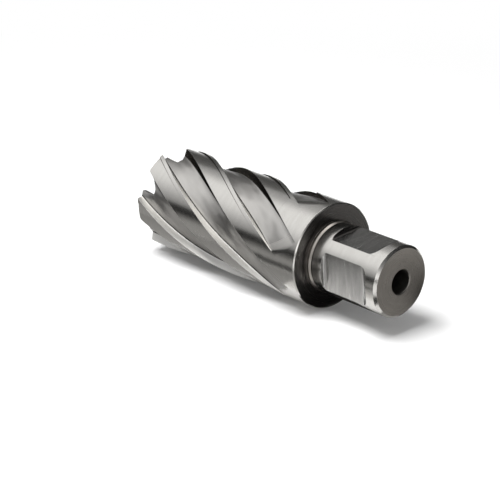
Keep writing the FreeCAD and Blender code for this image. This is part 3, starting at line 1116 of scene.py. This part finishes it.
def lay_floor(level):
    """White paper on the table, which keeps the cutter's shadow near it and fades
    into white farther off."""
    mesh = bpy.data.meshes.new("paper_floor")
    half = FLOOR_HALF
    corners = ((-half, -half), (half, -half), (half, half), (-half, half))
    mesh.from_pydata([Vector((x, y, level)) * MM for x, y in corners], [], [(0, 1, 2, 3)])
    material, tree = new_material("white_paper")
    fibre = add(tree, "ShaderNodeTexNoise", {"Scale": FIBRE_SCALE, "Detail": 3.0})
    tones = {"To Min": PAPER_TONES[0], "To Max": PAPER_TONES[1]}
    tint = add(tree, "ShaderNodeMapRange", tones, {"Value": fibre.outputs["Fac"]})
    matt = add(tree, "ShaderNodeBsdfDiffuse", {}, {"Color": tint.outputs["Result"]})
    lit = add(tree, "ShaderNodeEmission", {"Color": linear(WHITE)})
    place = add(tree, "ShaderNodeTexCoord")
    away = add(tree, "ShaderNodeVectorMath", {"operation": "LENGTH"}, {0: place.outputs["Object"]})
    fade = add(tree, "ShaderNodeMapRange", {"interpolation_type": "SMOOTHSTEP", **FADE},
               {"Value": away.outputs["Value"]})
    share = add(tree, "ShaderNodeMath", {"operation": "MULTIPLY"},
                {0: seen_directly(tree), 1: fade.outputs["Result"]})
    both = add(tree, "ShaderNodeMixShader", {},
               {0: share.outputs["Value"], 1: matt.outputs["BSDF"], 2: lit.outputs["Emission"]})
    add(tree, "ShaderNodeOutputMaterial", {}, {"Surface": both.outputs["Shader"]})
    mesh.materials.append(material)
    in_scene("paper_floor", mesh)


def light_room(glow):
    """White room for the camera and reflections, a plain glow for matt surfaces."""
    world = bpy.data.worlds.new("white_room")
    world.use_nodes = True
    tree = world.node_tree
    tree.nodes.clear()
    levels = {"To Min": glow, "To Max": 1.0}
    strength = add(tree, "ShaderNodeMapRange", levels, {"Value": seen_directly(tree)})
    room = add(tree, "ShaderNodeBackground", {"Color": linear(WHITE)},
               {"Strength": strength.outputs["Result"]})
    add(tree, "ShaderNodeOutputWorld", {}, {"Surface": room.outputs["Background"]})
    bpy.context.scene.world = world


def place_camera(studio):
    """Camera at the photograph's viewing angle."""
    turn = math.radians(studio.azimuth)
    rise = math.radians(studio.elevation)
    back = Vector((math.sin(turn) * math.cos(rise), -math.cos(turn) * math.cos(rise), math.sin(rise)))
    right = Vector((math.cos(turn), math.sin(turn), 0.0))
    top = back.cross(right)
    data = bpy.data.cameras.new("photo_camera")
    data.sensor_width = 36.0
    data.lens = studio.lens
    data.clip_start = 0.01
    data.clip_end = 20.0
    camera = in_scene("photo_camera", data)
    place = (back * studio.distance + right * studio.across + top * studio.upward) * MM
    camera.matrix_world = Matrix.Translation(place) @ Matrix((right, top, back)).transposed().to_4x4()
    bpy.context.scene.camera = camera


class CUTTER_OT_body(bpy.types.Operator):
    """Build the cutter's ground steel body in place of the plain model"""

    bl_idname = "cutter.body"
    bl_label = "Cutter body"

    def execute(self, context):
        scene = context.scene
        body = build_cutter(scene.cutter_sizes, cutter_finishes(scene.cutter_colours))
        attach(body, "root")
        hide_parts(NODE)
        return {"FINISHED"}


class CUTTER_OT_stage(bpy.types.Operator):
    """Set up the paper floor, the lamp, the cards, the curtain and the camera"""

    bl_idname = "cutter.stage"
    bl_label = "Stage"

    def execute(self, context):
        studio = context.scene.cutter_studio
        lay_floor(-context.scene.cutter_sizes.cutter_diameter / 2 - FLOOR_GAP)
        light_room(studio.glow)
        hang_lamp()
        hang_curtain()
        for name, height, corners, levels in LEVEL_CARDS:
            hang_card(name, [(x, y, height) for x, y in corners], levels)
        for name, (foot, head), (left, right), levels in UPRIGHT_CARDS:
            hang_card(name, ((*left, foot), (*right, foot), (*right, head), (*left, head)), levels)
        place_camera(studio)
        context.view_layer.update()
        return {"FINISHED"}


class CUTTER_PT_panel(bpy.types.Panel):
    """Cutter tools in the sidebar"""

    bl_label = "Annular Cutter"
    bl_idname = "CUTTER_PT_panel"
    bl_space_type = "VIEW_3D"
    bl_region_type = "UI"
    bl_category = "Cutter"

    def draw(self, context):
        scene = context.scene
        for operator in (CUTTER_OT_body, CUTTER_OT_stage):
            self.layout.operator(operator.bl_idname)
        for settings in (scene.cutter_sizes, scene.cutter_colours, scene.cutter_studio):
            box = self.layout.box()
            for name in settings.__annotations__:
                box.prop(settings, name)


CLASSES = (CutterSizes, FinishColours, StudioSettings, CUTTER_OT_body, CUTTER_OT_stage, CUTTER_PT_panel)


def register():
    for item in CLASSES:
        bpy.utils.register_class(item)
    bpy.types.Scene.cutter_sizes = PointerProperty(type=CutterSizes)
    bpy.types.Scene.cutter_colours = PointerProperty(type=FinishColours)
    bpy.types.Scene.cutter_studio = PointerProperty(type=StudioSettings)


def unregister():
    del bpy.types.Scene.cutter_studio
    del bpy.types.Scene.cutter_colours
    del bpy.types.Scene.cutter_sizes
    for item in reversed(CLASSES):
        bpy.utils.unregister_class(item)


def main():
    register()
    bpy.context.scene.view_settings.view_transform = "Standard"
    bpy.ops.cutter.body()
    bpy.ops.cutter.stage()


if __name__ == "__main__":
    main()
